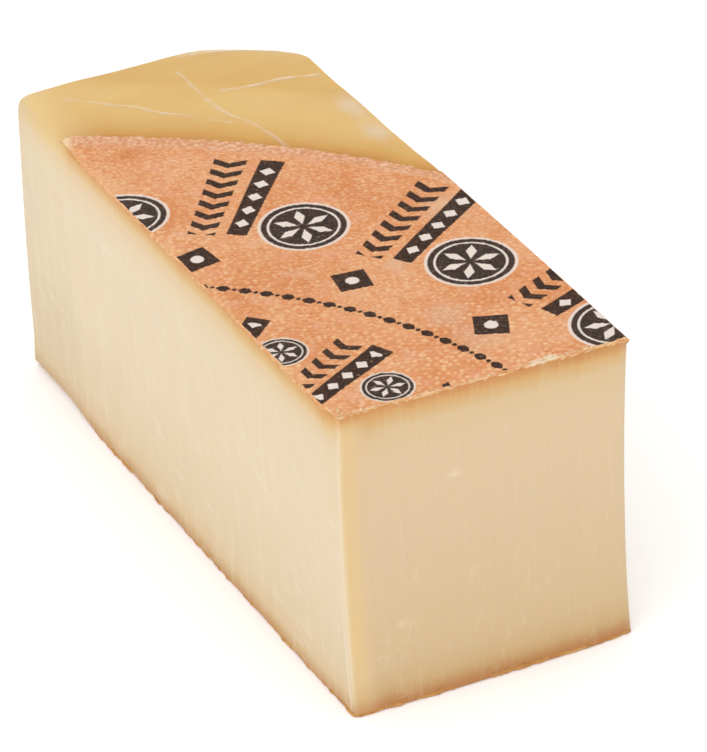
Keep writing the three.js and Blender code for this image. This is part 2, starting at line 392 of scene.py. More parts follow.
def rough(points, size, seed, octaves=3):
    """Lumps on lumps: each octave has half the size and about half the height of the last."""
    total = 0
    for octave in range(octaves):
        total = total + lumps(points, np.asarray(size, float) / 2**octave, seed + octave) * 0.55**octave
    return total / sum(0.55**octave for octave in range(octaves))


# The block's faces, in the block frame

def wheel_radius(x, y):
    return np.hypot(x - WHEEL_CENTRE[0], y - WHEEL_CENTRE[1])


def circle_y(x, radius):
    across = x - WHEEL_CENTRE[0]
    return WHEEL_CENTRE[1] + np.sqrt(radius * radius - across * across)


def rind_end_y(x):
    return circle_y(x, RIND_RADIUS - RIND_RADIUS_DRIFT * x)


def rind_z(x, y):
    return HEIGHT + RIND_WAVE * np.sin(x / 11 + 1.3) * np.sin(y / 14 + x / 23)


def planed_z(x, y):
    past = y - rind_end_y(x)
    step = mix(RIND_STEP_LEFT, RIND_STEP_RIGHT, x / WIDTH)
    groove = PLANED_GROOVE * np.exp(-((past - GROOVE_PAST_RIND) ** 2) / GROOVE_SPREAD)
    wave = PLANED_WAVE * np.sin(x / 13 + y / 17) * np.sin(y / 9 - x / 31)
    fades = 1 - smooth_step(x, *FAR_LEFT_FADES_ACROSS)
    rise = FAR_LEFT_RISE * smooth_step(y, *FAR_LEFT_RISES_ALONG) * fades
    return HEIGHT - step - groove + rise - wave * smooth_step(past, *PLANED_WAVE_GROWS)


def face_z(x, y):
    return mix(rind_z(x, y), planed_z(x, y), smooth_step(y - rind_end_y(x), 0, RIND_STEP_LENGTH))


def toward_foot(z):
    return 1 - (np.clip(z, 0, HEIGHT) / HEIGHT) ** 1.5


def bow(z):
    return 1 - (2 * z / HEIGHT - 1) ** 2


def flare(z):
    return 1 - smooth_step(z, 0, FLARE_HEIGHT)


def softened(y):
    return smooth_step(y, *LEFT_SOFTENS)


def left_face(y, z=HEIGHT):
    near = LEFT_TOP_BULGE * smooth_step(y, 0, LEFT_BULGE_FULL_Y)
    at_top = near + LEFT_TOP_BULGE_FAR * smooth_step(y, *LEFT_BULGE_GROWS)
    at_foot = mix(LEFT_FOOT_LEAN_FRONT, LEFT_FOOT_LEAN_FAR, y / FAR_CUT_TOP)
    flared = LEFT_FOOT_FLARE * flare(z) * smooth_step(y, 0, LEFT_FLARE_FULL_Y)
    belly = LEFT_BELLY * bow(z) * smooth_step(y, BELLY_GROWS_FROM_Y, FAR_CUT_TOP)
    return -mix(at_top, at_foot, toward_foot(z)) - flared - belly


def right_face(y, z=HEIGHT):
    more = RIGHT_TOP_BULGE_MORE * smooth_step(y, *RIGHT_BULGE_GROWS)
    past_rind = smooth_step(y - rind_end_y(WIDTH), 0, RIGHT_BULGE_FADES_OVER)
    bulge = mix(RIGHT_TOP_BULGE + more, RIGHT_BARE_BULGE, past_rind) * (1 - toward_foot(z))
    return WIDTH + bulge - RIGHT_BOW * bow(z) + RIGHT_FOOT_LEAN * (1 - z / HEIGHT)


def front_face(x, z=HEIGHT):
    across = np.clip(x / WIDTH, 0, 1)
    lean = mix(-FRONT_LEFT_FOOT_LEAN, FRONT_RIGHT_FOOT_DRAW, across) * (1 - z / HEIGHT)
    flared = FRONT_FOOT_FLARE * flare(z) * np.sqrt(np.maximum(np.sin(np.pi * across), 0))
    swell = FRONT_FOOT_SWELL * flare(z) * np.exp(-(((across - SWELL_ACROSS) / SWELL_REACH) ** 2))
    return -FRONT_SKEW * across + FRONT_BOW * bow(z) + lean - flared - swell


def far_cut(x, z=HEIGHT):
    return mix(FAR_CUT_FOOT, FAR_CUT_TOP, z / HEIGHT) - FAR_SKEW * x


def heel_radius(below, z):
    return HEEL_RADIUS - shared_round(below, HEEL_ROUNDING) - quarter_round(z, HEEL_FOOT_ROUNDING)


def foot_rounds(y):
    """How far the left face's foot has grown round, from 0 to 1."""
    return smooth_step(y, *LEFT_FOOT_ROUNDS)


def left_edge(y):
    return mix(CUT_EDGE, LEFT_SOFT_EDGE, softened(y))


def rind_inset(y):
    """How far the rind's left edge is drawn in where the block's edge is soft."""
    return RIND_DRAWN_IN * (left_edge(y) - CUT_EDGE)


def left_dip(x, y):
    """How far the top has fallen toward its left edge."""
    return shared_round(x - left_face(y), left_edge(y))


def top_z(x, y):
    right_dip = shared_round(right_face(y) - x, CUT_EDGE)
    front_dip = shared_round(y - front_face(x), CUT_EDGE)
    far_dip = shared_round(far_cut(x) - y, FAR_SOFT_EDGE)
    heel_dip = shared_round(HEEL_RADIUS - wheel_radius(x, y), HEEL_ROUNDING)
    return face_z(x, y) - largest(left_dip(x, y), right_dip, front_dip, far_dip + heel_dip)


def left_x(y, z):
    edge = shared_round(face_z(0, y) - z, left_edge(y))
    foot = quarter_round(z, mix(FOOT_EDGE, LEFT_FAR_FOOT_EDGE, foot_rounds(y)))
    near_corner = shared_round(y - front_face(0, z), CUT_EDGE)
    far_corner = shared_round(far_cut(0, z) - y, FAR_LEFT_CORNER)
    return left_face(y, z) + largest(edge, foot, near_corner, far_corner)


def right_x(y, z):
    below = face_z(WIDTH, y) - z
    edge = shared_round(below, CUT_EDGE)
    foot = quarter_round(z, FOOT_EDGE)
    near_corner = shared_round(y - front_face(WIDTH, z), CUT_EDGE)
    heel_y = circle_y(WIDTH, heel_radius(below, z))
    far_corner = shared_round(np.minimum(far_cut(WIDTH, z), heel_y) - y, RIGHT_FAR_CORNER)
    return right_face(y, z) - largest(edge, foot, near_corner, far_corner)


def front_y(x, z):
    edge = shared_round(face_z(x, front_face(x)) - z, CUT_EDGE)
    foot = quarter_round(z, FOOT_EDGE)
    corner = shared_round(np.minimum(x - left_face(0, z), right_face(0, z) - x), CUT_EDGE)
    return front_face(x, z) + largest(edge, foot, corner)


def heel_side(x, z=HEIGHT):
    """How far the heel falls back where it rounds into the right face."""
    return shared_round(right_face(FAR_CUT_TOP, z) - x, RIGHT_FAR_CORNER)


def far_y(x, z):
    below = face_z(x, FAR_CUT_TOP) - z
    heel_drop = quarter_round(HEEL_RADIUS - wheel_radius(x, FAR_CUT_TOP), HEEL_ROUNDING)
    edge = shared_round(below - heel_drop, FAR_SOFT_EDGE)
    foot = quarter_round(z, FAR_FOOT_EDGE)
    corner = shared_round(x - left_face(FAR_CUT_TOP, z), FAR_LEFT_CORNER)
    cut = far_cut(x, z) - largest(edge, foot, corner)
    heel = circle_y(x, heel_radius(below, z)) - heel_side(x, z)
    down_heel = smooth_step(below, SHARED_EDGE * HEEL_ROUNDING, HEEL_ROUNDING)
    return soft_min(cut, heel, mix(SHARPEST_CREASE, HEEL_CREASE, down_heel))


# Meshes

def placed(name, data):
    """An object with this data, linked to the scene."""
    made = bpy.data.objects.new(name, data)
    bpy.context.scene.collection.objects.link(made)
    return made


def piece(name, points, faces, material, fields=None):
    """A smooth mesh that rides on the block, from block points in millimetres and named values for them."""
    mesh = bpy.data.meshes.new(name)
    inside = np.clip((points - MIDDLE) * MM, *[np.array(corner) for corner in solid_box])
    mesh.from_pydata(inside.tolist(), [], faces)
    face_outward(mesh)
    mesh.shade_smooth()
    for field, values in (fields or {}).items():
        attribute = mesh.attributes.new(field, "FLOAT", "POINT")
        attribute.data.foreach_set("value", np.asarray(values, np.float32).ravel())
    mesh.materials.append(material)
    made = placed(name, mesh)
    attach(made, ROOT)
    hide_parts(NODE)
    return made


def face_outward(mesh):
    """Turns every face of a closed mesh outward."""
    body = bmesh.new()
    body.from_mesh(mesh)
    bmesh.ops.recalc_face_normals(body, faces=body.faces)
    body.to_mesh(mesh)
    body.free()


def lattice_lines(near, low, high, count, far):
    """Mesh lines as (share, offset): offsets from the near end, even shares, offsets from the far end."""
    starts = [(0.0, offset) for offset in near]
    middle = [(share, 0.0) for share in np.linspace(low, high, count)]
    ends = [(1.0, -offset) for offset in reversed(far)]
    return np.array(starts + middle + ends, float)


def crowded(count):
    """Shares from 0 to 1 that lie closer together near both ends."""
    even = np.linspace(0, 1, count)
    return mix(even, (1 - np.cos(math.pi * even)) / 2, 0.85)


def lattice_faces(counts):
    """The quads over a lattice's six sides, and the lattice place (i, j, k) of each of their points."""
    corners = []
    for fixed in range(3):
        first, second = (fixed + 1) % 3, (fixed + 2) % 3
        a, b = np.meshgrid(np.arange(counts[first] - 1), np.arange(counts[second] - 1), indexing="ij")
        for last in (False, True):
            quad = np.zeros(a.shape + (4, 3), int)
            steps = [(0, 0), (1, 0), (1, 1), (0, 1)]
            for place, (da, db) in enumerate(steps if last else steps[::-1]):
                quad[..., place, first] = a + da
                quad[..., place, second] = b + db
            quad[..., fixed] = counts[fixed] - 1 if last else 0
            corners.append(quad.reshape(-1, 4, 3))
    every = np.concatenate(corners)
    places, faces = np.unique(every.reshape(-1, 3), axis=0, return_inverse=True)
    return places, faces.reshape(-1, 4)


def normals_of(points, faces):
    """Outward unit normals at the points of a quad mesh."""
    a, b, c, d = (points[faces[:, corner]] for corner in range(4))
    face_normal = np.cross(c - a, d - b)
    total = np.zeros_like(points)
    for corner in range(4):
        np.add.at(total, faces[:, corner], face_normal)
    return total / np.maximum(np.linalg.norm(total, axis=1, keepdims=True), 1e-12)


def grid_faces(rows, columns):
    """Quads over a grid whose points are numbered row by row."""
    start = np.arange((rows - 1) * columns).reshape(rows - 1, columns)[:, :-1].ravel()
    return np.stack([start, start + columns, start + columns + 1, start + 1], axis=1)


def rim_of(rows, columns):
    """The point numbers round a grid's border, in order."""
    down = np.arange(rows) * columns
    return np.concatenate([
        np.arange(columns), down[1:] + columns - 1,
        down[-1] + np.arange(columns - 2, -1, -1), down[-2:0:-1],
    ])


def border_of(grid):
    """The points round a grid of points, in order."""
    return grid.reshape(-1, 3)[rim_of(*grid.shape[:2])]


def extended(values, count, beyond=0.0):
    """A grid's values in a row, and then one value for each of the points that follow the grid."""
    return np.append(values.ravel(), np.full(count, beyond))


def bands(loop, rings, count):
    """The quads that join a loop of point numbers to rings of fresh points, and the last ring's numbers."""
    faces = []
    for ring in rings:
        fresh = count + np.arange(len(ring))
        faces.append(np.stack([loop, fresh, np.roll(fresh, -1), np.roll(loop, -1)], axis=1))
        loop = fresh
        count += len(ring)
    return np.concatenate(faces), loop


def slab(grid, rings):
    """A closed body: a grid of points, rings that go on from its border, and one face that shuts the last."""
    rows, columns = grid.shape[:2]
    side, loop = bands(rim_of(rows, columns), rings, rows * columns)
    faces = np.concatenate([grid_faces(rows, columns), side])
    return np.concatenate([grid.reshape(-1, 3), *rings]), faces.tolist() + [loop.tolist()]


def stack(rings):
    """A closed body: rings of points joined in order, with one face to shut each end."""
    first = np.arange(len(rings[0]))
    side, last = bands(first, rings[1:], len(first))
    return np.concatenate(rings), [first[::-1].tolist()] + side.tolist() + [last.tolist()]


def beside(along):
    """Level vectors at right angles to level ones, on their right."""
    return spots(along[:, 1], -along[:, 0], np.zeros(len(along)))


def outward_of(loop):
    """Level unit vectors that point out of a level loop of points."""
    along = np.roll(loop, -1, axis=0) - np.roll(loop, 1, axis=0)
    side = beside(along)
    side /= np.maximum(np.linalg.norm(side, axis=1, keepdims=True), 1e-9)
    middle = loop.mean(axis=0)
    away, here = (((place - middle)[:, :2] ** 2).sum(axis=1) for place in (loop + side, loop))
    return side if (away > here).mean() > 0.5 else -side


# Node materials

def tint(code):
    """The paint that looks like a screen colour, such as E8CBA0, under this script's studio light."""
    parts = [int(code[place : place + 2], 16) / 255 for place in (0, 2, 4)]
    linear = [p / 12.92 if p <= 0.04045 else ((p + 0.055) / 1.055) ** 2.4 for p in parts]
    return (*[share / STUDIO_LIGHT for share in linear], 1.0)


class Field:
    """A number that varies over a surface. Arithmetic on fields adds math nodes to their material."""

    def __init__(self, shader, socket):
        self.shader = shader
        self.socket = socket

    def math(self, operation, *others):
        node = self.shader.node("Math", self, *others)
        node.operation = operation
        return Field(self.shader, node.outputs[0])

    __add__ = partialmethod(math, "ADD")
    __sub__ = partialmethod(math, "SUBTRACT")
    __mul__ = partialmethod(math, "MULTIPLY")
    __truediv__ = partialmethod(math, "DIVIDE")
    __abs__ = partialmethod(math, "ABSOLUTE")
    least = partialmethod(math, "MINIMUM")
    most = partialmethod(math, "MAXIMUM")

    def over(self, low, high):
        """0 below low and 1 above high, with a smooth step between them. Low may be the larger one."""
        node = self.shader.node("MapRange", self, low, high, 0.0, 1.0)
        node.interpolation_type = "SMOOTHSTEP"
        return Field(self.shader, node.outputs[0])

    def inside(self, blur):
        """1 where the field is below zero and 0 above, blurred over this width."""
        return self.over(blur / 2, -blur / 2)

    def nearest(self, period):
        """The field counted from the nearest multiple of a period."""
        return self - (self / period).math("ROUND") * period


class Shader:
    """A material's node tree, with short calls for the nodes that this script uses."""

    def __init__(self, name):
        self.material = bpy.data.materials.new(name)
        self.material.use_nodes = True
        self.tree = self.material.node_tree
        self.tree.nodes.clear()
        self.surface = self.node("BsdfPrincipled")
        self.node("OutputMaterial", Surface=Field(self, self.surface.outputs[0]))
        self.place = Field(self, self.node("TexCoord").outputs["Object"])

    def node(self, kind, *values, **named):
        """A new node whose first inputs, and those that are named, get these fields or plain values."""
        node = self.tree.nodes.new("ShaderNode" + kind)
        for socket, value in zip(node.inputs, values):
            self.feed(socket, value)
        for name, value in named.items():
            self.feed(node.inputs[name], value)
        return node

    def feed(self, socket, value):
        """Links a field to a socket, or sets the socket to a plain number or colour."""
        if isinstance(value, Field):
            self.tree.links.new(value.socket, socket)
        else:
            socket.default_value = value

    def set(self, **values):
        """Sets the surface's own sockets. A name's underscores stand for spaces."""
        for name, value in values.items():
            self.feed(self.surface.inputs[name.replace("_", " ")], value)

    def waxy(self, weight, radius, scale):
        """Lets light sink in, as wax and cheese do. The scale is in metres."""
        self.set(IOR=1.45, Subsurface_Weight=weight, Subsurface_Radius=radius, Subsurface_Scale=scale)

    def value(self, attribute):
        node = self.node("Attribute")
        node.attribute_name = attribute
        return Field(self, node.outputs["Fac"])

    @cached_property
    def axes(self):
        """The place on the surface as three fields, in millimetres of the row frame."""
        return [Field(self, socket) / MM for socket in self.node("SeparateXYZ", self.place).outputs]

    def from_place(self, place):
        """How far across and along the surface is from a place in the block frame, as two fields."""
        return [axis - float(at - middle) for axis, at, middle in zip(self.axes, place, MIDDLE)]

    def noise(self, size, detail=2.0, roughness=0.5, shift=0.0, turn=(0, 0, 0)):
        """Noise from 0 to 1 with lumps of this size in millimetres, or one size for each turned axis."""
        sizes = np.broadcast_to(size, 3) * MM
        scaled = self.node("Mapping", Vector=self.place, Scale=sizes, Rotation=turn, Location=[shift] * 3)
        scaled.vector_type = "TEXTURE"
        turned = Field(self, scaled.outputs[0])
        node = self.node("TexNoise", Vector=turned, Scale=1.0, Detail=detail, Roughness=roughness)
        return Field(self, node.outputs["Fac"])

    def ramp(self, field, *stops):
        """A colour that runs through the stops, each a value of the field and a colour."""
        low, high = stops[0][0], stops[-1][0]
        node = self.node("ValToRGB", (field - low) / (high - low))
        elements = node.color_ramp.elements
        for at, _ in stops[1:-1]:
            elements.new((at - low) / (high - low))
        for element, (_, colour) in zip(elements, stops):
            element.color = tint(colour)
        return Field(self, node.outputs[0])

    def blend(self, share, under, over):
        """The colour over, a field or a screen colour's code, laid on the colour under by its share."""
        node = self.node("Mix")
        node.data_type = "RGBA"
        self.feed(node.inputs[0], share)
        self.feed(node.inputs[6], under)
        self.feed(node.inputs[7], tint(over) if isinstance(over, str) else over)
        return Field(self, node.outputs[2])

    def layers(self, colour, *layers):
        """Colours laid on a colour one after another, each given as its share and its code or field."""
        for share, over in layers:
            colour = self.blend(share, colour, over)
        return colour

    def bump(self, height):
        """Small relief from a height field in millimetres."""
        return Field(self, self.node("Bump", Distance=MM, Height=height).outputs[0])


def mix_field(share, low, high):
    """A field that goes from the number low to the number high as its share goes from 0 to 1."""
    return share * (high - low) + low


# The print's shapes. Each is a distance field in millimetres that is below zero inside the shape

def span(u, v):
    """How far a place is from its motif's middle."""
    return (u * u + v * v).math("SQRT")


def lozenge(u, v, reach):
    return abs(u) + abs(v) - reach


def bar(u, v, half_u, half_v):
    return (abs(u) - half_u).most(abs(v) - half_v)


def all_of(*distances):
    """The distance outside the part that several shapes share."""
    return reduce(Field.most, distances)


def any_of(*distances):
    """The distance outside the nearest of several shapes."""
    return reduce(Field.least, distances)


class Wheel:
    """Places on the rind as a radius and an angle about the wheel's centre, for laying out the print."""

    def __init__(self, shader):
        out_x, out_y = shader.from_place(WHEEL_CENTRE)
        self.radius = span(out_x, out_y)
        self.angle = out_y.math("ARCTAN2", out_x) * math.degrees(1)

    def ring(self, radius, phase, period=PRINT_PERIOD):
        """Places round the nearest motif of a ring: how far along the ring, and how far out from it."""
        along = (self.angle - phase).nearest(period) * math.radians(radius)
        return along, self.radius - radius


def rosette(u, v, size):
    """A round medallion: its pale outline, its dark disc, and the pale ring and petals inside the disc."""
    reach = span(u, v)
    turn = v.math("ARCTAN2", u)
    petal_side = abs((turn * math.degrees(1)).nearest(60.0)) * math.radians(1) * reach
    petal = all_of(petal_side - (reach - size * 0.12) * 0.36, petal_side + (reach - size * 0.72) * 0.5)
    band = abs(reach - size * 0.83) - size * 0.028
    return reach - size * 1.08, reach - size, any_of(petal, band)


def beaded_bar(u, v, half_width, half_length, pitch):
    """A radial bar and the pale lozenges in it."""
    beads = all_of(lozenge(u, v.nearest(pitch), pitch * 0.3), abs(v) - half_length + pitch * 0.4)
    return bar(u, v, half_width, half_length), beads


def chevrons(u, v, half_width, half_length, pitch, thickness):
    """A radial column of chevrons that point inward."""
    stripes = abs((v - abs(u) * 0.55).nearest(pitch)) - thickness / 2
    return all_of(stripes, abs(u) - half_width, abs(v) - half_length)


def print_layers(wheel):
    """The print as three distance fields: the pale under-layer, the dark ink and the pale marks on it."""
    under, ink, pale = [], [], []
    for radius, angle, size in ROSETTES:
        outline, disc, marks = rosette(*wheel.ring(radius, angle), size)
        under.append(outline)
        ink.append(disc)
        pale.append(marks)
    for radius, angle, *sizes in BEADED_BARS:
        body, beads = beaded_bar(*wheel.ring(radius, angle), *sizes)
        ink.append(body)
        pale.append(beads)
    for radius, angle, *sizes in CHEVRON_COLUMNS:
        ink.append(chevrons(*wheel.ring(radius, angle), *sizes))
    u, v = wheel.ring(*TILE_RING)
    ink.append(lozenge(u, v, TILE_REACH))
    pale.append(span(u, v) - TILE_DOT)
    u, v = wheel.ring(CHAIN_RADIUS, 0.0, CHAIN_PERIOD)
    ink.append(all_of(lozenge(u, v, DASH_REACH), abs(v) - DASH_HALF_HEIGHT))
    ink.append(span(*wheel.ring(CHAIN_RADIUS, CHAIN_PERIOD / 2, CHAIN_PERIOD)) - DOT_RADIUS)
    return any_of(*under), any_of(*ink), any_of(*pale)


# Materials

# The stops of a cut face's colour: millimetres under the top or over the foot, and a screen colour
FRONT_UNDER_RIND = [
    (0.0, "CD8040"), (1.2, "D39054"), (3.0, "D89C5E"), (4.4, "DBAB6E"), (7.0, "DDB782"), (10.0, "E0C395"),
    (20.0, "E2C7A0"), (40.0, "E1C6A0"), (60.0, "DDC39D"),
]
FRONT_OVER_FOOT = [
    (0.0, "BE7F40"), (2.6, "BE8752"), (4.0, "C39562"), (5.5, "CBA572"), (8.5, "D2B384"), (14.0, "D7BB90"),
    (24.0, "DBBF95"), (50.0, "DEC49B"),
]
SIDE_UNDER_RIND = [
    (0.0, "CE9048"), (1.5, "D4984E"), (2.6, "D79F57"), (4.0, "D9AB6A"), (5.5, "DDB77D"), (8.0, "E1C394"),
    (12.0, "E2C9A2"), (16.0, "E3CCA8"), (22.0, "E4CEAC"), (60.0, "E4CEAC"),
]
SIDE_OVER_FOOT = [
    (0.0, "A87238"), (1.2, "BC884E"), (2.4, "C1955C"), (3.4, "C79F69"), (5.0, "CFAE7E"), (7.0, "D8BC90"),
    (9.0, "DAC098"), (14.0, "DCC5A0"), (26.0, "DEC8A5"), (50.0, "E3CDAB"),
]
# The same by the distance from the front left edge, on the front face: a painted highlight on the edge, then
# a warmer painted glow where light shines through the edge
LIT_CORNER_STRIP = [
    (0.0, "EBD6B2"), (0.7, "E9D0A4"), (1.2, "E9CC9A"), (1.8, "E8C992"), (2.5, "E7C78F"), (3.3, "E7C792"),
    (5.0, "E5C795"), (7.5, "E3C49A"),
]
# The same by the distance past the rind's end, on the planed top
PLANED_TOP = [
    (0.0, "CF9447"), (3.0, "D7A050"), (6.0, "DDAB5C"), (9.0, "E0B062"), (12.0, "E3B76B"), (20.0, "E7BF74"),
    (30.0, "E8C278"), (36.0, "E8BE73"), (40.0, "E1B566"), (47.0, "E3B86B"), (62.0, "E4BB71"),
]
# A cut face's colour by its depth under the planed top
UNDER_PLANED_TOP = [
    (0.0, "E6C486"), (4.0, "E3C386"), (5.5, "E3C58E"), (9.0, "E2C79A"), (12.0, "E3CBA2"), (16.0, "E2CEA8"),
    (22.0, "E2CCA9"), (60.0, "E0CAA8"),
]


def cut_colour(shader, streaked, under_rind, over_foot):
    """A cut face's colour by its depth under the top and its height over the foot.

    The borders of the colours are drawn up and down in streaks by this many millimetres.
    """
    streaks = shader.noise((1.4, 1.4, 80.0), detail=3.0) - 0.5
    uneven = shader.noise(13.0, shift=0.7) - 0.5
    below = shader.value("below") + streaks * streaked + uneven * 2.4
    above = shader.value("above") + streaks * streaked * 0.5 + uneven * 2.0
    planed = shader.value("past").over(-13.0, 3.0)
    upper = shader.blend(planed, shader.ramp(below, *under_rind), shader.ramp(below, *UNDER_PLANED_TOP))
    lower = shader.blend(planed * 0.4, shader.ramp(above, *over_foot), "CDB791")
    return shader.blend(above.over(28.0, 62.0), lower, upper)


def front_marks(shader, body):
    """The front face's marks and one painted shade: thin upright drags, crinkles low down, an ochre tinge
    under the rind, and a greyer painted shade along its right edge.
    """
    x, below, above = shader.axes[0], shader.value("below"), shader.value("above")
    near_corner = shader.value("corner").over(20.0, 6.0) * below.over(15.0, 5.0)
    drags = shader.noise((1.6, 1.6, 26.0), detail=3.0, shift=0.25).over(0.52, 0.85)
    clumps = shader.noise(15.0, detail=1.0, shift=0.85).over(0.44, 0.62) * above.over(62.0, 34.0)
    rubs = shader.noise((2.2, 2.2, 7.0), detail=3.0, shift=0.55, turn=(0, 0.3, 0)).over(0.55, 0.72)
    ticks = shader.noise((5.5, 5.5, 1.1), detail=3.0, shift=0.15).over(0.54, 0.74)
    return shader.layers(
        body,
        (x.over(8.0, 32.0) * below.over(6.0, 2.0) * 0.45, "C48C4A"),
        (near_corner * 0.3, "D6A05A"),
        (drags * 0.2, "EBD9BA"),
        (rubs * clumps * 0.3, "EBD9B8"),
        (ticks * clumps * x.over(-4.0, -22.0) * 0.2, "EFDEC0"),
        # Painted shade: greyer along the right edge, where the face rounds away from the light
        (x.over(43.6, 46.6) * 0.3, "CFC3A8"),
        (shader.value("nick") * 0.8, "F2E2C4"),
    )


def side_marks(shader, body):
    """The side faces' own marks: short slanting smears in clumps, and faint upright streaks."""
    clumps = shader.noise(24.0, detail=1.0, shift=0.65).over(0.42, 0.6)
    smears = shader.noise((4.0, 9.0, 2.6), detail=3.0, shift=0.3, turn=SMEAR).over(0.48, 0.82)
    deep = shader.value("below").over(9.0, 26.0)
    body = shader.blend(smears * clumps * deep * 0.4, body, "F1E4D0")
    upright = shader.noise((3.4, 3.4, 26.0), detail=3.0, shift=0.75).over(0.45, 0.75)
    return shader.blend(upright * deep * 0.18, body, "F0E1C6")


def paste_material():
    """Ivory paste: golden under the rinds, paler inside, with fine upright wire marks on the cut faces."""
    shader = Shader("paste")
    side = shader.value("side")
    front = front_marks(shader, cut_colour(shader, 2.4, FRONT_UNDER_RIND, FRONT_OVER_FOOT))
    corner = shader.value("corner")
    above = shader.value("above")
    fades = mix_field(above.over(1.0, 20.0), 0.35, 1.0) * shader.value("below").over(1.5, 8.0)
    # Painted highlight along the front left edge, and beside it a painted warm glow of light shining through
    # the edge
    lit_corner_strip = shader.ramp(corner, *LIT_CORNER_STRIP)
    front = shader.blend(corner.over(10.0, 4.0) * fades * 0.9, front, lit_corner_strip)
    sides = side_marks(shader, cut_colour(shader, 1.6, SIDE_UNDER_RIND, SIDE_OVER_FOOT))
    # Painted highlight on the left face beside the front left edge, lower down
    corner_highlight = corner.over(0.7, 1.4) * corner.over(2.9, 2.0) * above.over(50.0, 16.0)
    by_heel = shader.value("heel").over(7.0, 1.0) * 0.6
    body = shader.layers(
        shader.blend(side, front, sides),
        # Painted highlight right on the front left edge
        (corner.over(1.2, 0.4) * above.over(0.5, 5.0) * 0.15, "F2E9D8"),
        (corner_highlight * side * 0.3, "F2E9D8"),
        (by_heel, "C4894E"),
    )
    uneven = shader.noise(16.0, shift=0.5) - 0.5
    cloudy = shader.noise((30.0, 12.0, 20.0), detail=3.0, shift=0.4).over(0.42, 0.7)
    from_left = shader.axes[0] + float(MIDDLE[0])
    golden = shader.layers(
        shader.ramp(shader.value("past") + uneven * 5.0, *PLANED_TOP),
        (cloudy * 0.3, "DAA85A"),
        # Paler toward the left edge: partly the paste's own paler colour toward the cut, partly a painted
        # highlight on the soft rounded left edge
        (from_left.over(15.0, 0.0) * 0.45, "ECD09C"),
        (by_heel, "D99E62"),
    )
    cut = shader.value("cut")
    shader.set(Base_Color=shader.blend(cut, golden, body), Roughness=shader.noise(9.0) * 0.14 + 0.36)
    shader.waxy(0.3, (1.0, 0.62, 0.3), 0.0012)
    shader.set(Specular_IOR_Level=0.3, Coat_Weight=mix_field(cut, 0.03, 0.1), Coat_Roughness=0.16)
    lines = shader.noise((0.7, 0.7, 60.0), shift=0.1) * cut
    shader.set(Normal=shader.bump(lines * 0.08))
    return shader.material


def pits_of(shader):
    """Where the rind has fine dark pits, drawn out along its weave."""
    return shader.noise((2.6, 1.0, 2.0), detail=3.0, shift=0.6, turn=WEAVE).over(0.52, 0.32)


def rind_colour(shader, grain, ribs):
    """Orange rind whose granules are paler than the weave between them."""
    patches = shader.noise(24.0, detail=3.0)
    pale = (grain + (ribs - 0.5) * 0.9 + (patches - 0.5) * 0.3).over(0.0, 0.7)
    pink = shader.noise((7.0, 4.0, 4.0), detail=3.0, shift=0.15, turn=WEAVE).over(0.5, 0.7)
    # A pale whitish haze in patches on the rind
    haze_and_glare = shader.noise(11.0, detail=4.0, shift=0.2).over(0.55, 0.75)
    colour = shader.layers(
        shader.ramp(patches, (0.3, "DD8D57"), (0.5, "E59A66"), (0.7, "E9A776")),
        (pits_of(shader) * 0.55, "CF804B"),
        (pale * 0.88, "F8C799"),
        (pink * 0.4, "EDA988"),
        (haze_and_glare * 0.25, "F0CBA8"),
    )
    for *place, reach, strength in PALE_MARKS:
        away = span(*shader.from_place(place)) + (patches - 0.5) * 8.0
        colour = shader.blend(away.over(reach, reach * 0.2) * strength, colour, "E6C2A2")
    x, y = shader.from_place(STAIN)
    stain = (span(x, y * 1.5) + (patches - 0.5) * 6.0).over(6.0, 1.0)
    return shader.blend(stain * 0.5, colour, "CC7B42")


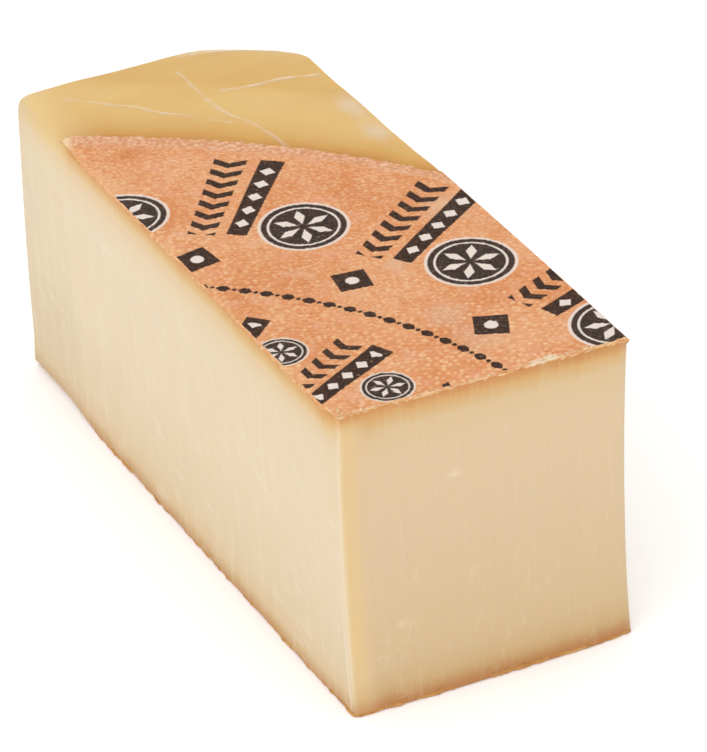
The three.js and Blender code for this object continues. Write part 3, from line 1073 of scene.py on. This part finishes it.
def rind_material():
    """Dry orange rind with a woven grain, dark printed motifs and a rough unprinted band at its end."""
    shader = Shader("rind")
    grain = shader.value("grain")
    to_end = shader.value("to_end")
    ribs = shader.noise((2.6, 0.9, 2.0), turn=WEAVE)
    patches = shader.noise(5.0, shift=0.4)
    cream = shader.noise(1.6, detail=3.0, shift=0.8)
    colour = rind_colour(shader, grain, ribs)
    by_left = (shader.value("to_left") + cream * 4.0).over(7.0, 2.0)
    colour = shader.blend(by_left * (grain * 0.7 + 0.2), colour, "F5BF8B")
    under, ink, marks = print_layers(Wheel(shader))
    rim = shader.value("rim")
    printed = to_end.over(RIND_END_BAND, RIND_END_BAND + 0.6) * rim.over(0.2, 0.5)
    torn = shader.noise((2.2, 0.5, 1.0), detail=3.0, shift=0.9, turn=WEAVE)
    held = (grain * 0.25 + torn).over(1.0, 0.68) * 0.98
    weave = shader.noise((0.6, 4.0, 2.0), shift=0.35, turn=WEAVE) * 0.5 + ribs * 0.5
    dark = shader.ramp(weave, (0.36, "1E1008"), (0.5, "311C10"), (0.64, "4D3425"))
    inked = ink.inside(INK_BLUR) * printed
    pebble = shader.value("pebble") + (cream - 0.5) * 1.1
    band = shader.ramp(pebble, (0.0, "DA9A70"), (0.25, "E9B08A"), (0.85, "F8D6B6"))
    band = shader.blend(pits_of(shader) * 0.45, band, "D08A5A")
    past_print = (to_end + patches * 6.0).over(RIND_END_BAND + 4.5, RIND_END_BAND + 0.5)
    bare = shader.noise(7.0, shift=0.55).over(0.36, 0.58)
    by_rim = (shader.value("pale_rim") + cream * 3.0).over(2.3, 1.3)
    cream_corner = shader.value("to_left") + to_end * 0.4 + cream * 3.0
    side = shader.ramp(cream, (0.35, "D2955A"), (0.5, "DEA768"), (0.64, "F3D6A8"))
    colour = shader.layers(
        colour,
        (under.inside(INK_BLUR) * printed * 0.85, "F0E2D6"),
        (inked * held, dark),
        (marks.inside(INK_BLUR) * printed * held, "F0E2D6"),
        (past_print * 0.85, band),
        (by_rim * bare, "F5D0A2"),
        (cream_corner.over(6.8, 3.2) * 0.8, "F3D6AC"),
        (shader.value("peeled"), "F2DDBF"),
        (shader.value("side"), side),
    )
    shader.set(Base_Color=colour, Roughness=mix_field(inked, 0.65, 0.5))
    shader.waxy(0.06, (1.0, 0.5, 0.25), 0.0012)
    shader.set(Specular_IOR_Level=0.15)
    return shader.material


def foot_material():
    """Rough brown rind of the underside and the heel, with a fine cloth mark and darker patches."""
    shader = Shader("foot_rind")
    patches = shader.noise(4.0, detail=5.0, roughness=0.65)
    broad = shader.noise(18.0, detail=3.0, shift=0.3).over(0.5, 0.7)
    threads = shader.noise((1.0, 1.0, 3.0), shift=0.6).over(0.5, 0.75)
    colour = shader.layers(
        shader.ramp(patches, (0.32, "B87A36"), (0.5, "CB8F47"), (0.7, "DBA95F")),
        (broad * 0.35, "B57B45"),
        (threads * 0.4, "E3B37C"),
    )
    shader.set(Base_Color=colour, Roughness=0.6)
    shader.waxy(0.1, (1.0, 0.5, 0.25), 0.002)
    shader.set(Normal=shader.bump(shader.noise(0.6, detail=4.0) * 0.3 + threads * 0.15))
    return shader.material


def crumb_material():
    """Pale cream crumbs that the knife left along the rind's edges."""
    shader = Shader("crumbs")
    colour = shader.ramp(shader.noise(1.0, detail=3.0), (0.34, "D9955E"), (0.52, "E6AF7B"), (0.72, "FAE3C2"))
    shader.set(Base_Color=colour, Roughness=0.55)
    shader.waxy(0.3, (1.0, 0.6, 0.3), 0.002)
    return shader.material


def film_material(name, sheen):
    """Clear film that shows only on its folds and in its painted glare, and then in the colour of its sheen.
    The glare is a painted reflection; the folds' paleness is partly the creased film's own and partly painted
    sheen.
    """
    shader = Shader(name)
    fold = shader.value("fold")
    # Painted glare: pale patches where light reflects off the film by the right edge
    haze_and_glare = (shader.value("haze_and_glare") + shader.noise(7.0) * 0.5).over(0.3, 1.4)
    broken = shader.noise(4.5, detail=3.0, shift=0.45).over(0.3, 0.7)
    shader.set(Base_Color=sheen, Roughness=0.55, IOR=1.45, Specular_IOR_Level=0.2)
    cover = fold * (broken * FILM_BROKEN_ALPHA + FILM_FOLD_ALPHA) + haze_and_glare * FILM_GLARE_ALPHA + FILM_CLEAR_ALPHA
    shader.set(Alpha=cover.least(FILM_MOST_ALPHA))
    return shader.material


# Pieces

def paste_points(across, along, up):
    """Brings lattice points, given as shares and offsets, onto the block's faces."""
    x = across[:, 0] * WIDTH + across[:, 1]
    z = up[:, 0] * HEIGHT + up[:, 1]
    past_rind = along[:, 0] > 1
    for _ in range(PASTE_ROUNDS):
        end = rind_end_y(x)
        to_rind = mix(front_y(x, z), end, along[:, 0])
        to_far = mix(end, far_y(x, z), along[:, 0] - 1)
        y = np.where(past_rind, to_far, to_rind) + along[:, 1]
        x = mix(left_x(y, z), right_x(y, z), across[:, 0]) + across[:, 1]
        z = up[:, 0] * top_z(x, y) + up[:, 1]
    return spots(x, y, z)


def wire_marks(points):
    """How far a cut face stands out in millimetres."""
    return sum(height * lumps(points, size, seed) for height, size, seed in WIRE_MARKS)


def nicks(points):
    """How far into a small nick of the front face a point lies, from 0 to 1."""
    deepest = np.zeros(len(points))
    for middle, height, half_wide, half_high in NICKS:
        away = ((points[:, 0] - middle) / half_wide) ** 2 + ((points[:, 2] - height) / half_high) ** 2
        deepest = np.maximum(deepest, np.exp(-away) * (points[:, 1] < 10))
    return deepest


def build_paste(material):
    """The block's body. It is one closed mesh with crowded lines along its edges and at the rind's end."""
    across = lattice_lines(*PASTE_ACROSS)
    to_far = np.array([(1 + share, 0.0) for share in crowded(PASTE_TO_FAR)[1:]])
    along = np.concatenate([lattice_lines(*PASTE_TO_RIND), to_far])
    up = lattice_lines(*PASTE_UP)
    places, faces = lattice_faces((len(across), len(along), len(up)))
    points = paste_points(across[places[:, 0]], along[places[:, 1]], up[places[:, 2]])
    x, y, z = points.T
    past = wheel_radius(x, y) - RIND_RADIUS + RIND_RADIUS_DRIFT * x
    normals = normals_of(points, faces)
    cut = 1 - smooth_step(normals[:, 2], 0.55, 0.9)
    under_rind = (1 - smooth_step(past, -1.4, 0.0)) * smooth_step(z, HEIGHT - 2.2, HEIGHT - 0.4)
    past_rind_edge = x - left_face(y) - rind_inset(y)
    under_rind *= 1 - softened(y) * (1 - smooth_step(past_rind_edge, -0.8, -0.1))
    heel = HEEL_RADIUS - wheel_radius(x, y)
    nicked = nicks(points)
    rounds_away = 2.0 * foot_rounds(y)
    relief = (wire_marks(points) - NICK_DEPTH * nicked) * cut * smooth_step(heel, 1.0, 8.0)
    points = points + normals * relief[:, None]
    points[:, 2] -= HIDDEN_UNDER_RIND * under_rind
    fields = {
        "below": np.minimum(HEIGHT - z, np.maximum(heel, 0) * 0.8),
        "heel": heel,
        "above": np.minimum(np.maximum(z - rounds_away, 0), np.maximum(heel, 0)),
        "past": past,
        "cut": cut,
        "side": smooth_step(np.abs(normals[:, 0]), 0.5, 0.85),
        "corner": np.hypot(x - left_face(0, z), y - front_face(0, z)),
        "nick": nicked,
    }
    return piece("cheese_paste", points, faces.tolist(), material, fields)


def granules(x, y, pitch, radius, seed, loose):
    """Rounded granules from 0 to 1, one at a loose place in each cell of a woven grid."""
    along = (x * math.cos(WEAVE_ANGLE) + y * math.sin(WEAVE_ANGLE)) / pitch[0]
    across = (y * math.cos(WEAVE_ANGLE) - x * math.sin(WEAVE_ANGLE)) / pitch[1]
    cells = 512
    chance = np.random.default_rng(seed).uniform(0, 1, (3, cells, cells))
    highest = np.zeros_like(x)
    for step_a, step_b in product((-1, 0, 1), repeat=2):
        row = np.floor(across) + step_b
        shift = 0.5 * (row % 2)
        cell = np.floor(along - shift) + step_a
        drift_a, drift_b, size = chance[:, cell.astype(int) % cells, row.astype(int) % cells]
        gap_a = (along - shift - cell - 0.5 - loose * (drift_a - 0.5)) * pitch[0]
        gap_b = (across - row - 0.5 - loose * (drift_b - 0.5)) * pitch[1]
        near = np.clip(1 - (gap_a**2 + gap_b**2) / radius**2, 0, 1)
        highest = np.maximum(highest, near * near * mix(0.25, 1.0, size))
    return highest


def rind_grain(x, y):
    """The rind's woven grain from 0 to 1. It is coarse at the front and finer toward the far left."""
    spot = spots(x, y)
    x = x + 0.9 * lumps(spot, 12.0, 21)
    y = y + 0.9 * lumps(spot, 12.0, 22)
    coarse = granules(x, y, *COARSE_GRAIN)
    fine = granules(x, y, *FINE_GRAIN)
    share = np.clip(0.95 - y / 200 - 0.5 * x / WIDTH + 0.3 * lumps(spot, 30.0, 25), 0.1, 1)
    return mix(0.85 * fine, coarse, share)


def build_top_rind(material):
    """The rind on top: a thin slab with a granular face and ragged cut edges, up to the arc where it ends."""
    across = lattice_lines(*RIND_ACROSS)
    along = np.concatenate([lattice_lines(*RIND_ALONG), lattice_lines(*RIND_AT_END)])
    i, j = np.meshgrid(np.arange(len(across)), np.arange(len(along)), indexing="ij")
    x = across[i, 0] * WIDTH + across[i, 1]
    for _ in range(RIND_ROUNDS):
        front = front_face(x) - RIND_EDGE_RAGGED * (rough(x[..., None], 1.7, 33) - 0.2)
        end = rind_end_y(x) + RIND_END_RAGGED * rough(x[..., None], 2.4, 31)
        y = mix(front, end, along[j, 0]) + along[j, 1]
        left = left_face(y) + rind_inset(y) - 0.5 * RIND_EDGE_RAGGED * rough(y[..., None], 1.5, 34)
        right = right_face(y) + 0.2 * RIND_EDGE_RAGGED * rough(y[..., None], 1.6, 35)
        x = mix(left, right, across[i, 0]) + across[i, 1]
    to_end = end - y
    to_sides = np.minimum(x - left, right - x)
    to_ends = np.minimum(y - front, to_end)
    rim = np.minimum(to_sides, to_ends)
    pale_rim = np.minimum(to_sides * 2 + 2.0, to_ends)
    grain = rind_grain(x, y)
    pebble = granules(x, y, *END_PEBBLES)
    spot = spots(x, y)
    band = 1 - smooth_step(to_end, RIND_END_BAND - 2, RIND_END_BAND + 1)
    middle, half_long, half_wide = PEELED
    away = ((x - middle) / half_long) ** 4 + ((y - front - 0.6) / half_wide) ** 2
    peeled = smooth_step(np.exp(0.7 * rough(spot, 2.2, 36) - away), 0.35, 0.7)
    relief = mix(GRAIN_HEIGHT * (grain - 0.7), PEBBLE_HEIGHT * (pebble - 0.6), band)
    relief = relief + 0.03 * rough(spot, 0.9, 41, octaves=2)
    relief = relief - PEEL_DEPTH * peeled * (1 - 0.5 * rough(spot, 1.2, 44))
    rounding = np.maximum(quarter_round(rim, CUT_EDGE), left_dip(x, y))
    z = rind_z(x, y) - 0.1 + relief * smooth_step(rim, 0.0, 0.8) - rounding
    grid = spots(x, y, z)
    rings = rind_side(border_of(grid))
    points, faces = slab(grid, rings)
    side_count = sum(len(ring) for ring in rings)
    fields = {
        "grain": extended(grain, side_count),
        "to_end": extended(to_end, side_count, 30.0),
        "rim": extended(rim, side_count),
        "pale_rim": extended(pale_rim, side_count, 9.0),
        "to_left": extended(x - left, side_count, 9.0),
        "pebble": extended(pebble, side_count),
        "peeled": extended(peeled, side_count),
        "side": extended(np.zeros_like(grain), side_count, 1.0),
    }
    return piece("rind_top", points, faces, material, fields)


def rind_side(loop):
    """The rings that carry the top rind's border down its craggy side and in under it."""
    out = outward_of(loop)
    crag = rough(loop, 1.7, 51)[:, None]
    thick = RIND_THICKNESS + 0.5 * rough(loop, 2.4, 52)
    upper = loop + out * (RIND_PROUD + 0.1 * crag)
    upper[:, 2] -= 0.1
    lower = loop + out * (0.4 * RIND_PROUD + 0.16 * crag)
    lower[:, 2] = np.minimum(HEIGHT - thick, loop[:, 2] - 0.35)
    tucked = loop - out * 1.2
    tucked[:, 2] = lower[:, 2] - 1.1
    return [upper, lower, tucked]


def block_loop(height):
    """The block's outline at heights over the foot, as a loop of points that starts at the front left."""
    ahead = np.linspace(0, 1, FOOT_ACROSS)
    away = np.linspace(0, 2, FOOT_ALONG)
    across = np.concatenate([ahead, np.ones(len(away) - 1), ahead[-2::-1], np.zeros(len(away) - 2)])
    along = np.concatenate([np.zeros(len(ahead)), away[1:], np.full(len(ahead) - 1, 2.0), away[-2:0:-1]])
    nothing = np.zeros(len(across))
    up = spots(nothing, np.broadcast_to(height, len(across)))
    return paste_points(spots(across, nothing), spots(along, nothing), up)


def build_foot_rind(material):
    """The rind under the block, whose ragged brown edge shows along the foot."""
    base = block_loop(0.5)
    faces_front = smooth_step(-outward_of(base)[:, 1], 0.5, 0.9)
    faces_far = smooth_step(outward_of(base)[:, 1], 0.5, 0.9)
    across = np.maximum(faces_front, faces_far)
    thins_out = 1 - FOOT_THINS_BY * smooth_step(base[:, 1], *FOOT_THINS) * (1 - faces_far)
    uneven = 1 + 0.5 * rough(base, 9.0, 61) + 0.6 * rough(base, 1.8, 62)
    thick = mix(FOOT_RIND_SIDE, FOOT_RIND_FRONT, across) * uneven * thins_out
    crag = 1.1 * rough(base, 2.2, 63) + 0.6 * rough(base, 8.0, 64)
    away = (base[:, 0] ** 2 + (base[:, 1] - FOOT_CORNER_Y) ** 2) / FOOT_CORNER_REACH**2
    corner = FOOT_CORNER_PROUD * np.exp(-away)
    rings = []
    for share, lift, proud, craggy in FOOT_RINGS:
        height = thick * share + lift * (1 + crag)
        ring = block_loop(height)
        ring += outward_of(ring) * (proud + craggy * (crag + corner))[:, None]
        ring[:, 2] = height
        rings.append(ring)
    tucked = rings[-1] - outward_of(rings[-1]) * FOOT_TUCKED
    tucked[:, 2] = FOOT_RIND_SIDE * 0.5
    rings.append(tucked)
    points, faces = stack(rings)
    return piece("rind_foot", points, faces, material)


def build_heel_rind(material):
    """The wheel's rind over the rounded heel at the far right corner."""
    centre_z = HEIGHT - HEEL_ROUNDING
    arc = np.linspace(HEEL_RIND_FROM, math.pi / 2, HEEL_ROUND)
    rounded = spots(HEEL_RADIUS - HEEL_ROUNDING * (1 - np.sin(arc)), centre_z + HEEL_ROUNDING * np.cos(arc))
    drop = np.linspace(centre_z, HEEL_RIND_FOOT, HEEL_DOWN)[1:]
    straight = spots(HEEL_RADIUS - quarter_round(drop, HEEL_FOOT_ROUNDING), drop)
    profile = np.concatenate([rounded, straight])
    radius, z = profile.T
    right = right_face(FAR_CUT_TOP, z) - SHARED_EDGE * RIGHT_FAR_CORNER
    to_right = np.arccos((right - WHEEL_CENTRE[0]) / radius)
    to_cut = np.arcsin((far_cut(HEEL_CUT_X, z) - WHEEL_CENTRE[1]) / radius)
    to_cut = to_cut - (0.6 + 0.5 * waver(z, 2.0)) / radius
    share = np.linspace(0, 1, HEEL_AROUND)[:, None]
    angle = mix(to_right, np.maximum(to_cut, to_right + 0.004), share)
    spot = spots(angle * radius, z + 0 * angle)
    out = HEEL_RIND_PROUD + 0.1 * rough(spot, 1.6, 71)
    x = WHEEL_CENTRE[0] + (radius + out) * np.cos(angle)
    y = WHEEL_CENTRE[1] + (radius + out) * np.sin(angle) - heel_side(x, z)
    grid = spots(x, y, z + 0 * angle)
    border = border_of(grid)
    middle = border.mean(axis=0)
    tucked = border + (middle - border) * 0.06
    tucked[:, 1] -= HEEL_TUCKED
    points, faces = slab(grid, [tucked])
    return piece("rind_heel", points, faces, material)


def rope(path, wide, high, seed, sides=10):
    """A closed lumpy cord along a level path, given its half width and half height at each point."""
    along = np.gradient(path, axis=0)
    along /= np.linalg.norm(along, axis=1, keepdims=True)
    turn = np.arange(sides) * 2 * math.pi / sides
    level = beside(along)[:, None] * (np.cos(turn)[:, None] * wide[:, None, None])
    upright = np.array([0, 0, 1]) * (np.sin(turn)[:, None] * high[:, None, None])
    ring = level + upright
    points = path[:, None] + ring
    swell = 1 + 0.8 * rough(points, 1.5, seed)
    points = path[:, None] + ring * swell[..., None]
    return stack(list(points))


def joined(parts):
    """Several closed bodies as one list of points and one of faces."""
    points, faces, start = [], [], 0
    for part_points, part_faces in parts:
        points.append(part_points)
        faces += [[corner + start for corner in face] for face in part_faces]
        start += len(part_points)
    return np.concatenate(points), faces


def burr(path, uneven, wide, high, seed, more=0):
    """A cord as wide and as high as its unevenness, each given as a base, a gain and the least size."""
    half_wide, half_high = (np.maximum(base + gain * uneven, least) for base, gain, least in (wide, high))
    return rope(path, half_wide + more, half_high, seed)


def build_crumbs(material):
    """The pale ragged burr along the rind's cut edges and along the arc where it ends."""
    x = np.arange(0.4, WIDTH - 0.3, 0.3)
    front = spots(x, front_face(x) + 0.3, rind_z(x, front_face(x)) - 0.26)
    uneven = rough(x[:, None], 1.5, 81) + 0.6 * rough(x[:, None], 7.0, 87)
    front_burr = burr(front, uneven, (0.16, 0.5, 0.04), (0.12, 0.26, 0.04), 82)
    y = np.arange(-0.6, rind_end_y(0) - 3.0, 0.35)
    inset = rind_inset(y) + 0.25
    left = spots(left_face(y) + inset, y, rind_z(0, y) - 0.3 - shared_round(inset, left_edge(y)))
    by_corner = 0.5 * np.exp(-((y / 2.4) ** 2))
    left_burr = burr(left, rough(y[:, None], 1.4, 83), (0, 0.6, 0.03), (0.02, 0.25, 0.03), 84, by_corner)
    share = np.linspace(0, 1, 20)
    flake_x, flake_y = (start + run * share for start, run in zip(CORNER_FLAKE_START, CORNER_FLAKE_RUN))
    flake_path = spots(flake_x, flake_y, HEIGHT - 0.25 + 0 * share)
    flake_size = np.sin(math.pi * np.clip(share, 0.05, 0.95)) * CORNER_FLAKE_SIZE
    corner_flake = rope(flake_path, flake_size, flake_size * 0.8, 88)
    x = np.arange(0.6, WIDTH - 0.5, 0.35)
    y = rind_end_y(x)
    end = spots(x, y - 0.1, rind_z(x, y) - 0.45 - left_dip(x, y))
    end_burr = burr(end, rough(x[:, None], 4.0, 85), (0.35, 0.35, 0.06), (0.2, 0.14, 0.06), 86)
    points, faces = joined([front_burr, left_burr, end_burr, corner_flake])
    return piece("edge_crumbs", points, faces, material)


def fold_path(corners, seed):
    """A slightly wavering path through corners."""
    corners = np.array(corners, float)
    reach = np.append(0, np.cumsum(np.hypot(*np.diff(corners, axis=0).T)))
    at = np.arange(0, reach[-1], FOLD_STEP)
    path = spots(*[np.interp(at, reach, corners[:, axis]) for axis in (0, 1)])
    window = np.hanning(21) / np.hanning(21).sum()
    padded = np.pad(path, ((10, 10), (0, 0)), mode="edge")
    eased = spots(*[np.convolve(padded[:, axis], window, mode="valid") for axis in (0, 1)])
    return eased + spots(0.35 * rough(at[:, None], 5.0, seed), 0.3 * rough(at[:, None], 4.0, seed + 7))


def build_folds(material):
    """The film's raised folds: thin ridges that thin out and swell along their way."""
    ropes = []
    for seed, (width, corners) in enumerate(FILM_FOLDS, start=100):
        path = fold_path(corners, seed)
        ends = np.minimum(np.arange(len(path)), np.arange(len(path))[::-1]) * FOLD_STEP
        size = width * np.clip(0.75 + 0.9 * rough(path, 5.0, seed), 0.15, 1.4) * np.clip(ends / 4, 0.15, 1)
        line = np.column_stack([path, top_z(path[:, 0], path[:, 1]) + 0.1 + FOLD_RISE * width])
        ropes.append(rope(line, size, size * 0.5, seed + 20, sides=8))
    points, faces = joined(ropes)
    return piece("film_folds", points, faces, material, {"fold": np.full(len(points), 0.6)})


def build_film(material):
    """The clear film close over the bare end of the top. Beside a fold it is drawn up a little.

    Its far right corner follows the block's rounded one, so that none of it hangs past the cheese.
    """
    shares = np.linspace(0, 1, FILM_ACROSS), np.linspace(0, 1, FILM_ALONG)
    across, along = np.meshgrid(*shares, indexing="ij")
    left = left_face(FILM_LEFT_AT_Y) + FILM_IN_FROM_LEFT
    x = mix(left, right_face(FAR_CUT_TOP) - FILM_IN_FROM_RIGHT, across)
    heel = circle_y(x, HEEL_RADIUS - SHARED_EDGE * HEEL_ROUNDING)
    far = soft_min(far_cut(x), heel - heel_side(x), SHARPEST_CREASE) - FILM_IN_FROM_FAR
    y = mix(rind_end_y(x) + FILM_PAST_RIND, far, along)
    x = x - across**8 * shared_round(np.maximum(heel - y, 0), RIGHT_FAR_CORNER)
    spot = spots(x, y)
    drawn, soft = np.zeros_like(x), np.zeros_like(x)
    for seed, (width, corners) in enumerate(FILM_FOLDS, start=100):
        for place in fold_path(corners, seed)[::3]:
            gap = ((spot - place) ** 2).sum(axis=-1)
            drawn = np.maximum(drawn, width * np.exp(-gap / 2.5))
            soft = np.maximum(soft, np.exp(-gap / (2.4 * width)))
    # Painted glare: where light reflects off the film by the right edge
    haze_and_glare = np.zeros_like(x)
    for centre_x, centre_y, reach in FILM_GLARE_PATCHES:
        away_x = (x - centre_x) / FILM_GLARE_ACROSS
        away_y = (y - centre_y) / reach
        haze_and_glare = np.maximum(haze_and_glare, np.exp(-(away_x**2) - away_y**2))
    gathered = FAR_FRINGE * np.exp(-(far - y) / 3.0) * (0.5 + 0.5 * rough(x[..., None], 14.0, 95))
    z = top_z(x, y) + FILM_CLEARANCE + FOLD_RISE * drawn + gathered
    grid = spots(x, y, z)
    sunk = border_of(grid) - np.array([0, 0, FILM_DEPTH])
    points, faces = slab(grid, [sunk])
    at_far_edge = 0.8 * np.exp(-(far - y) / 0.8)
    fields = {
        "fold": extended(np.maximum(soft * 0.85, at_far_edge), len(sunk)),
        "haze_and_glare": extended(haze_and_glare, len(sunk)),
    }
    return piece("film", points, faces, material, fields)


# The studio

def make_camera():
    """The camera at the photograph's place, angle and lens."""
    camera = placed("camera", bpy.data.cameras.new("camera"))
    turn = Matrix.Rotation(-CAMERA_AZIMUTH, 4, "Z")
    turn = turn @ Matrix.Rotation(math.pi / 2 - CAMERA_ELEVATION, 4, "X")
    turn = turn @ Matrix.Rotation(CAMERA_ROLL, 4, "Z")
    back = turn.to_3x3() @ Vector((0, 0, 1))
    camera.matrix_world = Matrix.Translation(CAMERA_AIM + back * CAMERA_DISTANCE) @ turn
    camera.data.lens = CAMERA_LENS
    camera.data.clip_start = 0.01
    camera.data.clip_end = 20.0
    bpy.context.scene.camera = camera


def make_floor():
    """A wide pale floor under the block."""
    mesh = bpy.data.meshes.new("floor")
    corners = [(x * FLOOR_HALF, y * FLOOR_HALF, 0) for x, y in ((-1, -1), (1, -1), (1, 1), (-1, 1))]
    mesh.from_pydata(corners, [], [(0, 1, 2, 3)])
    shader = Shader("floor")
    shader.set(Base_Color=(*[FLOOR_GREY] * 3, 1.0), Roughness=0.9, Specular_IOR_Level=0.0)
    shader.set(Emission_Color=(1.0, 1.0, 1.0, 1.0), Emission_Strength=FLOOR_GLOW)
    mesh.materials.append(shader.material)
    floor = placed("floor", mesh)


def soft_sun(name, azimuth, elevation, spread, power):
    """An even light on everything from an azimuth and a height in degrees. A wide spread is soft."""
    light = bpy.data.lights.new(name, "SUN")
    light.angle = math.radians(spread)
    light.energy = power
    made = placed(name, light)
    turn = math.radians(azimuth)
    rise = math.radians(elevation)
    level = math.cos(rise)
    away = Vector((math.sin(turn) * level, -math.cos(turn) * level, math.sin(rise)))
    made.rotation_euler = (-away).to_track_quat("-Z", "Y").to_euler()


def make_light():
    """Plain soft studio light: a bright even surround and one wide soft light from the left."""
    world = bpy.data.worlds.new("studio")
    bpy.context.scene.world = world
    world.use_nodes = True
    surround = world.node_tree.nodes["Background"]
    surround.inputs["Color"].default_value = (1.0, 1.0, 1.0, 1.0)
    surround.inputs["Strength"].default_value = SURROUND_STRENGTH
    soft_sun("key", **KEY_LIGHT)
    bpy.context.scene.view_settings.view_transform = "Standard"


make_camera()
make_floor()
make_light()

build_paste(paste_material())
build_top_rind(rind_material())
foot_rind = foot_material()
build_foot_rind(foot_rind)
build_heel_rind(foot_rind)
build_crumbs(crumb_material())
build_film(film_material("film", FILM_GLARE_COLOUR))
build_folds(film_material("film_folds", FILM_FOLD_COLOUR))
